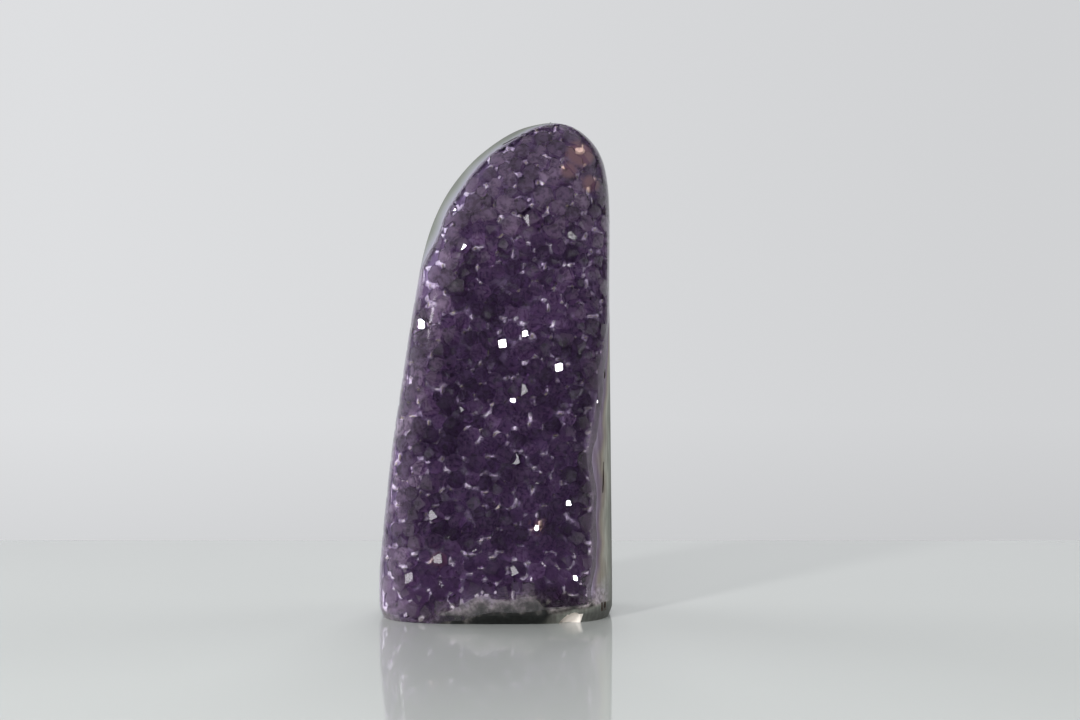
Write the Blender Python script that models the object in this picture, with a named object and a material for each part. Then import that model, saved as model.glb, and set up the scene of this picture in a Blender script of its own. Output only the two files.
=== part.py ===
"""Amethyst cluster with a cut base: a slab of geode wall whose rim is ground round.

The front is a bed of amethyst points, left as it grew in the middle and ground
smooth towards the rim.  The bed grew on a rind of basalt lined with chalcedony,
which is the back of the stone and comes round to the front along the foot, the
right edge and the upper left shoulder.  The foot is sawn flat.

Units are metres, +Z is up, the crystals face -Y, and the origin is the middle
of the sawn foot.
"""

import math
import random

import bmesh
import bpy
import numpy as np
from mathutils import Matrix, Vector, noise

MM = 0.001

# ---------------------------------------------------------------- the ground form
# The stone's outline, from the foot to the crown.  Each point is a distance from
# the middle of the foot (across for the edges, deep for the faces) and a height.
LEFT_EDGE = ((-34.3, 0), (-35.2, 2.5), (-35.2, 14), (-32.0, 46), (-28.4, 71), (-24.5, 96),
             (-21.1, 113), (-16.2, 125.5), (-9.3, 135.4), (-1.7, 142.4), (7.0, 147.6), (16.7, 150))
RIGHT_EDGE = ((34.6, 0), (35.4, 1.5), (35.6, 10), (35.1, 60), (34.8, 96), (34.9, 122), (33.9, 134),
              (31.5, 141.2), (27.3, 146.2), (22.4, 149.0), (16.7, 150))
FRONT_FACE = ((-22.8, 0), (-23.9, 2.5), (-24.0, 30), (-23.7, 75), (-21.6, 108), (-17.8, 130),
              (-12.0, 142.5), (-6.4, 148.4), (0.0, 150))
BACK_FACE = ((22.2, 0), (23.6, 4), (24.0, 36), (22.8, 80), (20.2, 110), (16.4, 130),
             (11.4, 142.5), (6.2, 148.4), (0.0, 150))
CROWN = (16.7 * MM, 0.0, 150 * MM)

# A level section is a rounded square: the power of its curve is 2 for an ellipse.
FOOT_POWER = 3.1
CROWN_POWER = 2.2
POWER_FALLS_FROM = 80 * MM

LEVELS = 26
AROUND = 44
CROWN_CROWDING = 1.8  # levels lie closer together towards the crown

# The back keeps the lumpy outside of the geode.
LUMP_SIZE = 11 * MM
LUMP_HEIGHT = 1.3 * MM
LUMPS_BEHIND = (0.55, 0.95)  # the sine round a section where the lumps begin, and where they are full
LUMPS_ABOVE = (0.0, 8 * MM)

# ---------------------------------------------------------------- the layers
# The rind's front, as a depth: how far it lies behind the middle plane.  It rises to
# the front in three places, each over the spans where its rise begins and is full.
RIND_FRONT = 2.0 * MM
RIGHT_EDGE_RISE = 20 * MM
RIGHT_EDGE_ACROSS = (12 * MM, 32 * MM)
RIGHT_EDGE_DOWN = (98 * MM, 60 * MM)
SHOULDER_RISE = 20 * MM
SHOULDER_OUTWARD = (12 * MM, 3 * MM)  # in from the left edge
SHOULDER_UP = (98 * MM, 112 * MM)
FOOT_RISE = 28 * MM
FOOT_DOWN = (15 * MM, 3 * MM)
FOOT_ACROSS = (-26 * MM, -4 * MM)
LAYER_GAP = 0.3 * MM  # keeps the two solids clear of each other

# Massive quartz lies between the rind and the points, and comes out along the foot.
QUARTZ_UNDER_POINTS = 2.0 * MM
ROOT_DEPTH = -18.0 * MM  # where the points stand, before undulation
ROOT_WAVE = 1.0 * MM
ROOT_WAVE_SIZE = 25 * MM
QUARTZ_FOOT_RISE = 8 * MM
QUARTZ_FOOT_LOW = 5 * MM
QUARTZ_FOOT_HIGH = 12 * MM
QUARTZ_FOOT_ACROSS = (-28 * MM, 2 * MM)

# The blocks that become the two solids are grids, wider than the stone.
LAYER_GRID = 5.5 * MM
LAYER_COLUMNS = range(-8, 9)
LAYER_ROWS = range(-1, 30)
CLEAR_OF_STONE = 40 * MM

# ---------------------------------------------------------------- the points
FACE_SLOPE = math.radians(51.8)  # a quartz face's tilt from the crystal's own base
POINT_SHAPES = 8
PRISM_LENGTH = 3.2  # below the faces, in half widths
SMALLER_FACES = (0.1, 0.42)  # how much further out every second face lies, in half widths
FACE_SCATTER = 0.12
POINT_TILT = 0.17
SPACING = 0.89  # how closely neighbours may stand, as a share of touching
POINT_SIZES = ((3.3 * MM, 150), (2.9 * MM, 500), (2.5 * MM, 1200))  # half width, tries
TIP_SCATTER = 0.45 * MM
SHOULDER_SINK = 0.3  # how deep a point's shoulder lies under the root surface, in half widths
BATCH_ROOM = 1.7  # points in one batch stand this much further apart than touching
POINTS_ACROSS = (-36 * MM, 36 * MM)
POINTS_UP = (1 * MM, 149 * MM)
GRIND_MARGIN = 1.0 * MM  # points are made only where this much of them is left

# ---------------------------------------------------------------- the chip
CHIP_AT = (22.8 * MM, -23.2 * MM, -0.5 * MM)
CHIP_RADIUS = 4.2 * MM

SEED = 23
SHARP_FROM = math.radians(20)


def ramp(value, start, end):
    """0 at start, 1 at end, smooth between them; start may be above end."""
    share = min(max((value - start) / (end - start), 0.0), 1.0)
    return share * share * (3 - 2 * share)


def smooth_outline(points, steps=10):
    """A Catmull-Rom curve through an outline, in metres, as an array of (offset, height)."""
    knots = np.array([points[0], *points, points[-1]], float) * MM
    share = np.linspace(0, 1, steps, endpoint=False)[:, None]
    spans = []
    for before, start, end, after in zip(knots, knots[1:], knots[2:], knots[3:]):
        spans.append(start + 0.5 * share * (
            end - before
            + share * (2 * before - 5 * start + 4 * end - after
                       + share * (3 * start - before - 3 * end + after))))
    return np.vstack([*spans, knots[-1:]])


OUTLINES = [smooth_outline(edge) for edge in (LEFT_EDGE, RIGHT_EDGE, FRONT_FACE, BACK_FACE)]


def section(height):
    """(left, right, front, back) limits of the stone at a height."""
    return [float(np.interp(height, line[:, 1], line[:, 0])) for line in OUTLINES]


def section_power(height):
    fall = ramp(height, POWER_FALLS_FROM, CROWN[2])
    return FOOT_POWER + (CROWN_POWER - FOOT_POWER) * fall


def ground_front(x, z):
    """Depth of the ground surface on the front at a place, or 0 past the edges."""
    left, right, front, _ = section(z)
    off_centre = abs(2 * x - left - right) / (right - left)
    power = section_power(z)
    return front * (1 - off_centre ** power) ** (1 / power) if off_centre < 1 else 0.0


def rind_front(x, z):
    """Depth of the face between the rind and the amethyst.

    It runs behind the middle plane, and comes forward along the right edge, the
    upper left shoulder and the foot.
    """
    left = section(z)[0]
    right_edge = ramp(x, *RIGHT_EDGE_ACROSS) * ramp(z, *RIGHT_EDGE_DOWN)
    shoulder = ramp(x - left, *SHOULDER_OUTWARD) * ramp(z, *SHOULDER_UP)
    foot = ramp(z, *FOOT_DOWN) * ramp(x, *FOOT_ACROSS)
    rise = max(RIGHT_EDGE_RISE * right_edge, SHOULDER_RISE * shoulder)
    return RIND_FRONT - max(rise, FOOT_RISE * foot + 0.5 * rise)


def root_surface(x, z):
    """Depth of the massive quartz that the points stand on.  It comes to the front along the foot."""
    wave = ROOT_WAVE * noise.noise(Vector((x, 0, z)) / ROOT_WAVE_SIZE)
    top = QUARTZ_FOOT_LOW + (QUARTZ_FOOT_HIGH - QUARTZ_FOOT_LOW) * ramp(x, *QUARTZ_FOOT_ACROSS)
    rise = QUARTZ_FOOT_RISE * ramp(z, top, top - QUARTZ_FOOT_LOW)
    return min(ROOT_DEPTH + wave - rise, rind_front(x, z) - QUARTZ_UNDER_POINTS)


def new_object(name, mesh):
    made = bpy.data.objects.new(name, mesh)
    bpy.context.scene.collection.objects.link(made)
    return made


def finish_mesh(bm, name):
    bmesh.ops.recalc_face_normals(bm, faces=bm.faces)
    mesh = bpy.data.meshes.new(name)
    bm.to_mesh(mesh)
    bm.free()
    return mesh


def section_ring(height):
    """One level section of the form, with the lumps of the geode's outside at its back."""
    left, right, front, back = section(height)
    middle, half_width = (left + right) / 2, (right - left) / 2
    bend = 2 / section_power(height)
    ring = []
    for step in range(AROUND):
        turn = math.tau * step / AROUND
        across, deep = math.cos(turn), math.sin(turn)
        x = middle + half_width * math.copysign(abs(across) ** bend, across)
        y = (back if deep > 0 else -front) * math.copysign(abs(deep) ** bend, deep)
        behind = ramp(deep, *LUMPS_BEHIND) * ramp(height, *LUMPS_ABOVE)
        lump = noise.noise(Vector((x, y, height)) / LUMP_SIZE)
        ring.append((x, y + LUMP_HEIGHT * behind * (lump - 0.5), height))
    return ring


def ground_form():
    """The whole stone, as level sections joined from the foot to the crown."""
    bm = bmesh.new()
    shares = [level / LEVELS for level in range(LEVELS)]
    heights = [CROWN[2] * (1 - (1 - share) ** CROWN_CROWDING) for share in shares]
    rings = [[bm.verts.new(point) for point in section_ring(height)] for height in heights]
    for lower, upper in zip(rings, rings[1:]):
        for i in range(AROUND):
            j = (i + 1) % AROUND
            bm.faces.new((lower[i], lower[j], upper[j], upper[i]))
    bm.faces.new(rings[0])
    crown = bm.verts.new(CROWN)
    for i in range(AROUND):
        bm.faces.new((rings[-1][i], rings[-1][(i + 1) % AROUND], crown))
    return new_object("ground_form", finish_mesh(bm, "ground_form"))


def layer(name, front, back):
    """A closed block that is wider than the stone, between two depths given by functions."""
    across = [column * LAYER_GRID for column in LAYER_COLUMNS]
    up = [row * LAYER_GRID for row in LAYER_ROWS]
    bm = bmesh.new()
    faces = [[[bm.verts.new((x, depth(x, z), z)) for z in up] for x in across]
             for depth in (front, back)]
    columns, rows = range(len(across) - 1), range(len(up) - 1)
    for sheet in faces:
        for i in columns:
            for j in rows:
                bm.faces.new((sheet[i][j], sheet[i + 1][j], sheet[i + 1][j + 1], sheet[i][j + 1]))
    near, far = faces
    for i in columns:
        for j in (0, -1):
            bm.faces.new((near[i][j], far[i][j], far[i + 1][j], near[i + 1][j]))
    for j in rows:
        for i in (0, -1):
            bm.faces.new((near[i][j], near[i][j + 1], far[i][j + 1], far[i][j]))
    return new_object(name, finish_mesh(bm, name))


def point_shape(rng):
    """One point of half width 1: a six-sided prism under six faces, three of them larger."""
    bm = bmesh.new()
    corner = 2 / math.sqrt(3)
    bmesh.ops.create_cone(bm, cap_ends=True, segments=6, radius1=corner, radius2=corner,
                          depth=2 * PRISM_LENGTH, matrix=Matrix.Rotation(math.radians(30), 4, "Z"))
    for side in range(6):
        turn = math.radians(60 * side)
        normal = Vector((math.sin(FACE_SLOPE) * math.cos(turn),
                         math.sin(FACE_SLOPE) * math.sin(turn), math.cos(FACE_SLOPE)))
        smaller = 0 if side % 2 == 0 else rng.uniform(*SMALLER_FACES)
        reach = math.sin(FACE_SLOPE) + smaller + rng.uniform(0, FACE_SCATTER)
        whole = bm.verts[:] + bm.edges[:] + bm.faces[:]
        bmesh.ops.bisect_plane(bm, geom=whole, plane_co=normal * reach, plane_no=normal,
                               clear_outer=True)
        bmesh.ops.holes_fill(bm, edges=[edge for edge in bm.edges if edge.is_boundary])
    return finish_mesh(bm, "point")


def point_sites(rng):
    """Where points stand, as (x, z, half width): large ones first, smaller ones in the gaps."""
    sites = []
    for size, tries in POINT_SIZES:
        for _ in range(tries):
            x = rng.uniform(*POINTS_ACROSS)
            z = rng.uniform(*POINTS_UP)
            clear = all(math.hypot(x - a, z - b) > SPACING * (size + other)
                        for a, b, other in sites)
            if clear:
                sites.append((x, z, size))
    return sites


def standing_points():
    """Every point that the grinding leaves something of, in batches whose members don't touch.

    A batch is one mesh of separate closed shapes, so a Boolean can join it in one step.
    """
    rng = random.Random(SEED)
    shapes = [point_shape(rng) for _ in range(POINT_SHAPES)]
    batches = []
    for x, z, size in point_sites(rng):
        lean = Vector((rng.gauss(0, POINT_TILT), -1, rng.gauss(0, POINT_TILT)))
        spin = Matrix.Rotation(rng.uniform(0, math.tau), 4, "Z")
        shape = rng.choice(shapes)
        scatter = rng.uniform(-TIP_SCATTER, TIP_SCATTER)
        root = root_surface(x, z)
        if ground_front(x, z) > root - GRIND_MARGIN:
            continue
        stand = Matrix.Translation((x, root + SHOULDER_SINK * size + scatter, z))
        aim = lean.to_track_quat("Z", "Y").to_matrix().to_4x4()
        point = shape.copy()
        point.transform(stand @ aim @ spin @ Matrix.Scale(size, 4))
        for batch in batches:
            if all(math.hypot(x - a, z - b) > BATCH_ROOM * (size + other)
                   for a, b, other in batch["places"]):
                break
        else:
            batch = {"places": [], "shapes": bmesh.new()}
            batches.append(batch)
        batch["places"].append((x, z, size))
        batch["shapes"].from_mesh(point)
        bpy.data.meshes.remove(point)
    for shape in shapes:
        bpy.data.meshes.remove(shape)
    return [new_object(f"points_{number}", finish_mesh(batch["shapes"], "points"))
            for number, batch in enumerate(batches)]


def combine(target, other, operation):
    """Applies a Boolean and removes the other body. The manifold solver keeps the result closed."""
    boolean = target.modifiers.new(operation.title(), "BOOLEAN")
    boolean.operation = operation
    boolean.object = other
    boolean.solver = "MANIFOLD"
    with bpy.context.temp_override(object=target):
        bpy.ops.object.modifier_apply(modifier=boolean.name)
    bpy.data.objects.remove(other)


def islands(bm):
    """The mesh's faces as groups that share edges, the largest group last."""
    waiting = set(bm.faces)
    groups = []
    while waiting:
        group, rim = set(), [waiting.pop()]
        while rim:
            face = rim.pop()
            group.add(face)
            near = {other for edge in face.edges for other in edge.link_faces} & waiting
            waiting -= near
            rim += near
        groups.append(group)
    return sorted(groups, key=len)


def drop_specks(stone):
    """Keeps the largest body only: where points lean together a Boolean leaves closed specks."""
    bm = bmesh.new()
    bm.from_mesh(stone.data)
    specks = [face for group in islands(bm)[:-1] for face in group]
    bmesh.ops.delete(bm, geom=specks, context="FACES")
    bmesh.ops.triangulate(bm, faces=bm.faces)
    bm.to_mesh(stone.data)
    bm.free()


def chip():
    """The ball that takes a shallow scar out of the foot's front edge."""
    bm = bmesh.new()
    bmesh.ops.create_icosphere(bm, subdivisions=3, radius=CHIP_RADIUS,
                               matrix=Matrix.Translation(CHIP_AT))
    return new_object("chip", finish_mesh(bm, "chip"))


def material(name, colour, roughness, transmission=0.0):
    made = bpy.data.materials.new(name)
    made.use_nodes = True
    shader = made.node_tree.nodes["Principled BSDF"]
    shader.inputs["Base Color"].default_value = (*colour, 1)
    shader.inputs["Roughness"].default_value = roughness
    shader.inputs["Metallic"].default_value = 0.0
    shader.inputs["Transmission Weight"].default_value = transmission
    return made


def half_gap_before(x, z):
    return rind_front(x, z) - LAYER_GAP / 2


def half_gap_behind(x, z):
    return rind_front(x, z) + LAYER_GAP / 2


def past_the_back(x, z):
    return CLEAR_OF_STONE


def past_the_front(x, z):
    return -CLEAR_OF_STONE


def build():
    crust = layer("amethyst_crust", root_surface, half_gap_before)
    for batch in standing_points():
        combine(crust, batch, "UNION")
    combine(crust, layer("room", past_the_front, half_gap_before), "INTERSECT")
    combine(crust, ground_form(), "INTERSECT")
    crust.data.materials.clear()
    crust.data.materials.append(material("amethyst", (0.16, 0.07, 0.24), 0.08, 0.4))

    rind = layer("basalt_rind", half_gap_behind, past_the_back)
    combine(rind, ground_form(), "INTERSECT")
    combine(rind, chip(), "DIFFERENCE")
    rind.data.materials.clear()
    rind.data.materials.append(material("polished_basalt", (0.19, 0.20, 0.18), 0.35))

    for stone in (crust, rind):
        drop_specks(stone)
        stone.data.shade_smooth()
        stone.data.set_sharp_from_angle(angle=SHARP_FROM)


for leftover in list(bpy.data.objects):
    bpy.data.objects.remove(leftover)
build()
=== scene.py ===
# %% [markdown]
# # A standing amethyst
#
# This lesson dresses a cut-base amethyst: a slice of geode wall, sawn flat below and ground round
# at its rim. Three things make it up. Clear purple points stand on milky quartz, and the quartz
# grew on a rind of chalcedony and basalt. The clear quartz is see-through, so what we see in it is
# mostly the quartz behind it, dimmed by the purple on the way in and out.

# %% Load the frame
import math
import random

import bpy
import numpy as np
from mathutils import Matrix, Vector, kdtree, noise


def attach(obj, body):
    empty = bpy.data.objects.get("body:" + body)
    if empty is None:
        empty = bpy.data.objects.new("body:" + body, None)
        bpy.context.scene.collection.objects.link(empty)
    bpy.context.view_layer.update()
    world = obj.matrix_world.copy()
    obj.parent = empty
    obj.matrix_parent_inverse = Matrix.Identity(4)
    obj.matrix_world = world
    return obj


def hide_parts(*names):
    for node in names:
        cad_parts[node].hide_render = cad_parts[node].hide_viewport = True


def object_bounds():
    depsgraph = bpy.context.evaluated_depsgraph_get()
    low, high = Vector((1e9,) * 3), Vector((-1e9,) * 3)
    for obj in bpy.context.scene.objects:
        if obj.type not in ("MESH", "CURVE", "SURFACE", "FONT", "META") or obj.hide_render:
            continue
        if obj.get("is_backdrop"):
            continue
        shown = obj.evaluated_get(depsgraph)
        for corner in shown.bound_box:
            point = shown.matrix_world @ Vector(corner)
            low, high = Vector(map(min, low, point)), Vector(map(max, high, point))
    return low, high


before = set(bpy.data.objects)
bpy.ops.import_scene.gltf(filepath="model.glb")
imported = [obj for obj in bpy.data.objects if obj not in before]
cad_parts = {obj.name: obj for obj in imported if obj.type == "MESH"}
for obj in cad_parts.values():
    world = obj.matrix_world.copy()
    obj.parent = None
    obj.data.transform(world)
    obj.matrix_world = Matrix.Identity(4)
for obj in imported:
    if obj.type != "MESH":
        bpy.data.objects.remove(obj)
cad_low, cad_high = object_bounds()
MM = 0.001
HEIGHT = cad_high[2]
print("The stone's box in mm:", [round(side / MM, 1) for side in np.subtract(cad_high, cad_low)])

# %% [markdown]
# ## The stone's form
#
# The outline is four curves: left, right, front and back. A level section between them is a
# rounded square near the foot and nearly an ellipse at the crown. A Catmull-Rom spline runs
# through a few knots of each, because a ground stone has no straight stretches and no corners.

# %% Outline curves
LEFT_EDGE = ((-34.3, 0), (-35.2, 2.5), (-35.2, 14), (-32.0, 46), (-28.4, 71), (-24.5, 96),
             (-21.1, 113), (-16.2, 125.5), (-9.3, 135.4), (-1.7, 142.4), (7.0, 147.6), (16.7, 150))
RIGHT_EDGE = ((34.6, 0), (35.4, 1.5), (35.6, 10), (35.1, 60), (34.8, 96), (34.9, 122), (33.9, 134),
              (31.5, 141.2), (27.3, 146.2), (22.4, 149.0), (16.7, 150))
FRONT_FACE = ((-22.8, 0), (-23.9, 2.5), (-24.0, 30), (-23.7, 75), (-21.6, 108), (-17.8, 130),
              (-12.0, 142.5), (-6.4, 148.4), (0.0, 150))
BACK_FACE = ((22.2, 0), (23.6, 4), (24.0, 36), (22.8, 80), (20.2, 110), (16.4, 130),
             (11.4, 142.5), (6.2, 148.4), (0.0, 150))
KNOT_STEPS = 16
FOOT_POWER = 3.1  # the power of a superellipse: the higher, the squarer
CROWN_POWER = 2.2
POWER_FALLS_FROM = 80 * MM


def ramp(value, start, end):
    """0 at start, 1 at end, smooth between them; start may be above end."""
    share = min(max((value - start) / (end - start), 0.0), 1.0)
    return share * share * (3 - 2 * share)


def between(start, end, share):
    """start where share is 0, end where it is 1."""
    return start + (end - start) * share


def smooth_outline(points):
    """A Catmull-Rom curve through an outline, in metres, as an array of (offset, height)."""
    knots = np.array([points[0], *points, points[-1]], float) * MM
    share = np.linspace(0, 1, KNOT_STEPS, endpoint=False)[:, None]
    spans = []
    for before, start, end, after in zip(knots, knots[1:], knots[2:], knots[3:]):
        spans.append(start + 0.5 * share * (
            end - before
            + share * (2 * before - 5 * start + 4 * end - after
                       + share * (3 * start - before - 3 * end + after))))
    return np.vstack([*spans, knots[-1:]])


OUTLINES = [smooth_outline(edge) for edge in (LEFT_EDGE, RIGHT_EDGE, FRONT_FACE, BACK_FACE)]


def section(height):
    """(left, right, front, back) limits of the stone at a height."""
    return [float(np.interp(height, line[:, 1], line[:, 0])) for line in OUTLINES]


def section_power(height):
    """How square the section is at a height."""
    return between(FOOT_POWER, CROWN_POWER, ramp(height, POWER_FALLS_FROM, HEIGHT))


def ground_front(x, z):
    """Depth of the ground surface on the front at a place, or 0 past the edges."""
    left, right, front, _ = section(z)
    if z >= HEIGHT:
        return 0.0
    off_centre = abs(2 * x - left - right) / (right - left)
    power = section_power(z)
    return front * (1 - off_centre ** power) ** (1 / power) if off_centre < 1 else 0.0


print("Width at 30 mm height, in mm:", [round(limit / MM, 1) for limit in section(30 * MM)[:2]])

# %% [markdown]
# ## The layers
#
# A geode fills from its wall inwards: basalt, then a thin lining of chalcedony, then massive
# quartz, then points. Each boundary is a depth that depends on the place, so one small function
# each is enough, and every piece below is cut by the same ones. That is why the pieces meet
# exactly, with no fitting. The rind's front wavers, and rises at the right edge, at the upper left
# shoulder and at the foot.

# %% Front of the rind
# Of two values in brackets, the first is where a share is 0 and the second is where it is 1.
RIND_FRONT = 2.0 * MM
RIGHT_EDGE_RISE = 20.5 * MM
RIGHT_EDGE_ACROSS = (12 * MM, 32 * MM)
RIGHT_EDGE_DOWN = (127 * MM, 50 * MM)
SHOULDER_RISE = 20 * MM
SHOULDER_OUTWARD = (10.5 * MM, 1 * MM)
SHOULDER_UP = (92 * MM, 118 * MM)
FOOT_RISE = 28 * MM
FOOT_TOP_LEFT = -5 * MM
FOOT_TOP_RIGHT = 2.5 * MM
FOOT_ACROSS = (-34 * MM, 4 * MM)
FOOT_FALL = 6 * MM
RISE_KEPT_AT_FOOT = 0.5
RIND_WAVE = 3.0 * MM
FOOT_WAVE = 3.0 * MM
RIND_WAVE_SIZE = 9 * MM
RIND_WAVE_DEPTH = 50 * MM  # where in the noise we read it


def wave(size, x, y, z):
    """A smooth noise from about -1 to 1, whose waves are about as long as size."""
    return noise.noise(Vector((x, y, z)) / size)


def rind_wave(x, z):
    return wave(RIND_WAVE_SIZE, x, RIND_WAVE_DEPTH, z)


def foot_line(x, z):
    """Height of the top of the basalt at the foot."""
    top = between(FOOT_TOP_LEFT, FOOT_TOP_RIGHT, ramp(x, *FOOT_ACROSS))
    return top + FOOT_WAVE * rind_wave(x, z)


def rind_front(x, z):
    """Depth of the face between the rind and the quartz."""
    left = section(z)[0]
    right_edge = ramp(x, *RIGHT_EDGE_ACROSS) * ramp(z, *RIGHT_EDGE_DOWN)
    shoulder = ramp(x - left, *SHOULDER_OUTWARD) * ramp(z, *SHOULDER_UP)
    foot = ramp(z - foot_line(x, z), FOOT_FALL, 0)
    rise = max(RIGHT_EDGE_RISE * right_edge, SHOULDER_RISE * shoulder)
    rise = max(rise, FOOT_RISE * foot + RISE_KEPT_AT_FOOT * rise)
    return RIND_FRONT + RIND_WAVE * rind_wave(x, z) - rise


print("Depth of the rind's front in the middle, in mm:", round(rind_front(0, 70 * MM) / MM, 1))

# %% [markdown]
# On the rim the wheel left nothing of the points. Beside it, on the left and near the crown, they
# lost only their tips, and a few in hollows are whole. So a place is ground by one share and
# trimmed by another.

# %% What the wheel took
GROUND_RIM = (2.5 * MM, 0.8 * MM)
GROUND_BY_RIND = (3.5 * MM, 0.5 * MM)
TRIMMED_LEFT = (16 * MM, 9 * MM)
TRIMMED_CROWN = (108 * MM, 126 * MM)
POCKETS = ((-22.0 * MM, 87.7 * MM), (-24.2 * MM, 12.8 * MM), (11.6 * MM, 118.6 * MM))
POCKET = (4.5 * MM, 2.5 * MM)


def ground_share(x, z):
    """1 on the rim that was ground away, 0 where the points still stand."""
    left, right = section(z)[:2]
    room = rind_front(x, z) - ground_front(x, z)
    return max(ramp(min(x - left, right - x), *GROUND_RIM), ramp(room, *GROUND_BY_RIND))


def trimmed_share(x, z):
    """1 where the wheel took the tips of the points, 0 where the points are whole."""
    share = max(ramp(x - section(z)[0], *TRIMMED_LEFT), ramp(z, *TRIMMED_CROWN))
    for pocket_x, pocket_z in POCKETS:
        share *= 1 - ramp(math.hypot(x - pocket_x, z - pocket_z), *POCKET)
    return share


print("Trimmed at the crown:", round(trimmed_share(0, 120 * MM), 2))

# %% [markdown]
# The points stand on massive quartz, a point's length behind the ground form. At the foot it
# swells out into a bare patch.

# %% Surface of the massive quartz
ROOT_DEPTH = -18.4 * MM
ROOT_WAVE = 1.0 * MM
ROOT_WAVE_SIZE = 25 * MM
QUARTZ_UNDER_POINTS = 2.0 * MM
DRUSE_DEPTH = 3.6 * MM  # how far the roots lie behind the ground front
TRIMMED_DEPTH = 1.7 * MM  # the same, where the points lost their tips
WHEEL_DEPTH = 2.0 * MM  # how far they stood out before the rim was ground
QUARTZ_FOOT_RISE = 8 * MM
QUARTZ_FOOT_LOW = 5 * MM
QUARTZ_FOOT_HIGH = 14 * MM
QUARTZ_FOOT_FALL = 9 * MM
QUARTZ_FOOT_ACROSS = (-22 * MM, -2 * MM, 8 * MM, 22 * MM)  # rising, high, falling, low


def root_surface(x, z):
    """Depth of the massive quartz that the points stand on."""
    ground = ground_share(x, z)
    under = between(DRUSE_DEPTH, TRIMMED_DEPTH, trimmed_share(x, z))
    rim = ground_front(x, z) + under * (1 - ground) - WHEEL_DEPTH * ground
    rising, high, falling, low = QUARTZ_FOOT_ACROSS
    patch = ramp(x, rising, high) * ramp(x, low, falling)
    top = between(QUARTZ_FOOT_LOW, QUARTZ_FOOT_HIGH, patch) + FOOT_WAVE * rind_wave(x, z)
    massive = QUARTZ_FOOT_RISE * ramp(z, top, top - QUARTZ_FOOT_FALL)
    inner = ROOT_DEPTH + ROOT_WAVE * wave(ROOT_WAVE_SIZE, x, 0, z)
    return min(max(inner, rim) - massive, rind_front(x, z) - QUARTZ_UNDER_POINTS)


print("Depth of the roots in the middle, in mm:", round(root_surface(0, 70 * MM) / MM, 1))

# %% [markdown]
# ## Tools for shaping
#
# Operators act on whatever is selected, so every step starts by selecting one piece and nothing
# else. To cut and join closed bodies we apply a Boolean modifier. Its manifold solver is fast on
# many hundreds of crystals, and from closed bodies it always makes a closed one.

# %% Selecting, joining and cutting
def take(*pieces):
    """Selects these pieces and nothing else, with the first one active."""
    bpy.ops.object.select_all(action="DESELECT")
    for piece in pieces:
        piece.select_set(True)
    bpy.context.view_layer.objects.active = pieces[0]


def combine(piece, other, operation):
    """Joins, cuts or keeps the overlap of two closed bodies, and removes the second."""
    take(piece)
    boolean = piece.modifiers.new(operation.title(), "BOOLEAN")
    boolean.operation = operation
    boolean.object = other
    boolean.solver = "MANIFOLD"
    bpy.ops.object.modifier_apply(modifier=boolean.name)
    bpy.data.objects.remove(other)


def vertices(piece):
    """The places of a piece's vertices, as an array of rows."""
    flat = np.empty(len(piece.data.vertices) * 3, np.float32)
    piece.data.vertices.foreach_get("co", flat)
    return flat.reshape(-1, 3)


def move_vertices(piece, places):
    piece.data.vertices.foreach_set("co", np.asarray(places, np.float32).ravel())
    piece.data.update()


# %% [markdown]
# ## The ground body
#
# A turn round the section and a height give a place on the surface. The back of a geode slice is
# never ground, so it keeps the lumps of the old lava bubble's wall: low swellings, a fine grain,
# and hollows where small gas bubbles burst.

# %% A place on the surface
LUMP_SIZE = 11 * MM
LUMP_HEIGHT = 1.3 * MM
GRAIN_SIZE = 2.6 * MM
GRAIN_HEIGHT = 0.35 * MM
GRAIN_FRACTAL = (1.0, 2.0, 3)  # roughness, lacunarity, octaves
BUBBLE_SIZE = 6.5 * MM
BUBBLE_DEPTH = 0.7 * MM
BUBBLES_FROM = (0.1, 0.6)
LUMPS_BEHIND = (0.55, 0.95)
LUMPS_ABOVE = (0.0, 8 * MM)


def natural_back(x, y, z):
    """How far the old lava wall lies inside the section: lumps, grain and burst bubbles."""
    lump = LUMP_HEIGHT * (0.5 - wave(LUMP_SIZE, x, y, z))
    finer = noise.fractal(Vector((x, y, z)) / GRAIN_SIZE, *GRAIN_FRACTAL)
    bubble = BUBBLE_DEPTH * ramp(wave(BUBBLE_SIZE, x, y, z), *BUBBLES_FROM)
    return lump + GRAIN_HEIGHT * (0.5 - finer) + bubble


def section_point(turn, height):
    left, right, front, back = section(height)
    bend = 2 / section_power(height)
    across, deep = math.cos(turn), math.sin(turn)
    x = (left + right) / 2 + (right - left) / 2 * math.copysign(abs(across) ** bend, across)
    y = (back if deep > 0 else -front) * math.copysign(abs(deep) ** bend, deep)
    behind = ramp(deep, *LUMPS_BEHIND) * ramp(height, *LUMPS_ABOVE)
    if behind:
        y -= behind * natural_back(x, y, height)
    return x, y, height


print("Depth of the back, in mm:", round(section_point(math.pi / 2, 70 * MM)[1] / MM, 1))

# %% [markdown]
# The body starts as a cylinder. Its upright edges are subdivided into levels, its top ring is
# merged into the crown, and every vertex is carried to its place on the surface. The grid of
# four-sided faces is even, so it shades smoothly. We need the body three times, so it is modelled
# once, and copied with a mesh of its own.

# %% A body from the section curves
AROUND = 280
LEVELS = 200
CROWN_CROWDING = 1.8  # levels lie closer together towards the crown
CROWN = Vector((16.7 * MM, 0, 150 * MM))
TOP_RING = 1 - 0.5 / LEVELS  # only the top ring lies above this share of the height


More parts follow.
